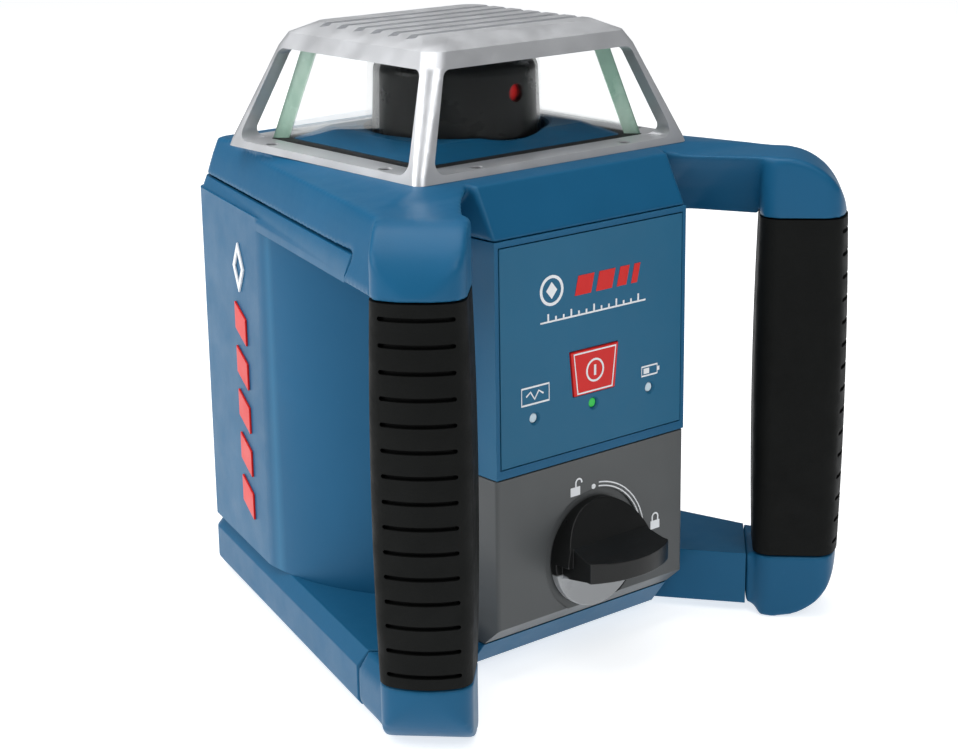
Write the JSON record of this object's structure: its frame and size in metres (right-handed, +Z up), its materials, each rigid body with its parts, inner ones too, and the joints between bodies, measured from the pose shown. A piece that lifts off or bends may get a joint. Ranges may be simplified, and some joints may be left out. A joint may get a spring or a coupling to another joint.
{
  "type": "rotating laser level",
  "caption": "Self-levelling rotating laser level: caged spinning beam head, two upright front carrying handles, button panel and a battery drawer with a lock knob.",
  "frame": {"origin": "mouth of the tripod thread, in the standing plane, on the rotor's upright axis", "axes": "+Z up along the rotor's axis, -Y out of the control panel, +X to the right of someone facing the panel"},
  "size_m": [0.183, 0.1725, 0.1882],
  "materials": {
    "blue_plastic": "fine-grained moulded plastic, satin",
    "panel_film": "satin overlay film",
    "grip_rubber": "matt ribbed rubber",
    "grey_plastic": "satin moulded plastic",
    "black_plastic": "satin",
    "cast_silver": "silver painted casting",
    "glass": "polished",
    "optic_glass": "coated",
    "aluminium": "machined",
    "steel": "bright",
    "dark_steel": "blackened",
    "brass": "machined",
    "red_plastic": "satin gloss",
    "white_plastic": "satin",
    "green_led": "clear moulded",
    "clear_led": "clear moulded",
    "seal_rubber": "matt",
    "belt_rubber": "matt",
    "circuit_board": "solder resist",
    "cell_wrap": "printed sleeve, left plain",
    "label_film": "blank printed film"
  },
  "bodies": {
    "housing": {"top_housing": "blue_plastic", "body_shell": "blue_plastic", "base_housing": "blue_plastic", "handle_frame_right": "blue_plastic", "handle_frame_left": "blue_plastic", "grip_right": "grip_rubber", "grip_left": "grip_rubber", "handle_screws": "steel", "housing_screws": "steel", "tripod_insert": "brass", "rear_feet": "seal_rubber", "rear_label": "label_film", "side_bars": "red_plastic", "side_emblems": "white_plastic", "front_panel": "panel_film", "power_led": "green_led", "shock_led": "clear_led", "battery_led": "clear_led", "panel_board": "circuit_board", "main_board": "circuit_board", "battery_bay": "black_plastic", "cage": "cast_silver", "cage_screws": "dark_steel", "window_front": "glass", "window_right": "glass", "window_back": "glass", "window_left": "glass", "window_gasket": "seal_rubber", "rotor_skirt": "blue_plastic", "ring_pins": "steel", "chassis": "aluminium", "chassis_screws": "steel", "levelling_motors": "steel"},
    "battery_drawer": {"battery_drawer": "grey_plastic", "battery_cells": "cell_wrap", "battery_contacts": "steel", "drawer_seal": "seal_rubber"},
    "lock_knob": {"lock_knob": "black_plastic", "lock_cam": "steel"},
    "power_button": {"power_button": "red_plastic"},
    "gimbal_ring": {"gimbal_ring": "aluminium", "carrier_pins": "steel"},
    "laser_unit": {"laser_carrier": "aluminium", "collimator_lens": "optic_glass", "laser_diode": "brass", "level_vials": "optic_glass", "rotor_bearings": "steel", "spin_motor": "steel", "drive_belt": "belt_rubber"},
    "rotor": {"rotor_cap": "black_plastic", "aperture_window": "optic_glass", "rotor_hub": "aluminium", "prism_holder": "aluminium", "pentaprism": "optic_glass", "driven_pulley": "white_plastic"},
    "motor_shaft": {"motor_pulley": "brass"},
    "nut_x": {"levelling_nut_x": "brass"},
    "nut_y": {"levelling_nut_y": "brass"},
    "screw_x": {"levelling_screw_x": "steel"},
    "screw_y": {"levelling_screw_y": "steel"}
  },
  "joints": [
    {"name": "drawer_slide", "type": "slide", "parent": "housing", "child": "battery_drawer", "axis": [0, -1, 0], "range_m": [0, 0.066]},
    {"name": "knob_turn", "type": "hinge", "parent": "battery_drawer", "child": "lock_knob", "pos_m": [0, -0.062, 0.0338], "axis": [0, -1, 0], "range_deg": [0, 90]},
    {"name": "power_press", "type": "slide", "parent": "housing", "child": "power_button", "axis": [0, 1, 0], "range_m": [0, 0.0008], "stiffness_N_per_m": 1500},
    {"name": "tilt_x", "type": "hinge", "parent": "housing", "child": "gimbal_ring", "pos_m": [0, 0, 0.14], "axis": [1, 0, 0], "range_deg": [-4.6, 4.6]},
    {"name": "tilt_y", "type": "hinge", "parent": "gimbal_ring", "child": "laser_unit", "pos_m": [0, 0, 0.14], "axis": [0, 1, 0], "range_deg": [-4.6, 4.6]},
    {"name": "rotor_spin", "type": "hinge", "parent": "laser_unit", "child": "rotor", "pos_m": [0, 0, 0.16], "axis": [0, 0, 1], "continuous": true},
    {"name": "motor_spin", "type": "hinge", "parent": "laser_unit", "child": "motor_shaft", "pos_m": [0, 0.024, 0.13], "axis": [0, 0, 1], "continuous": true},
    {"name": "nut_x_lift", "type": "slide", "parent": "housing", "child": "nut_x", "axis": [0, 0, 1], "range_m": [-0.0031, 0.0031]},
    {"name": "nut_y_lift", "type": "slide", "parent": "housing", "child": "nut_y", "axis": [0, 0, 1], "range_m": [-0.0037, 0.0037]},
    {"name": "screw_x_spin", "type": "hinge", "parent": "housing", "child": "screw_x", "pos_m": [0.044, 0, 0.1], "axis": [0, 0, 1], "range_deg": [-290, 290]},
    {"name": "screw_y_spin", "type": "hinge", "parent": "housing", "child": "screw_y", "pos_m": [0, 0.0505, 0.13], "axis": [0, 0, 1], "range_deg": [-330, 330]}
  ],
  "couplings": [
    {"joint": "motor_spin", "follows": "rotor_spin", "ratio": 3},
    {"joint": "nut_x_lift", "follows": "tilt_y", "m_per_rad": -0.037},
    {"joint": "nut_y_lift", "follows": "tilt_x", "m_per_rad": 0.044},
    {"joint": "screw_x_spin", "follows": "tilt_y", "ratio": -58.12},
    {"joint": "screw_y_spin", "follows": "tilt_x", "ratio": 69.115}
  ]
}
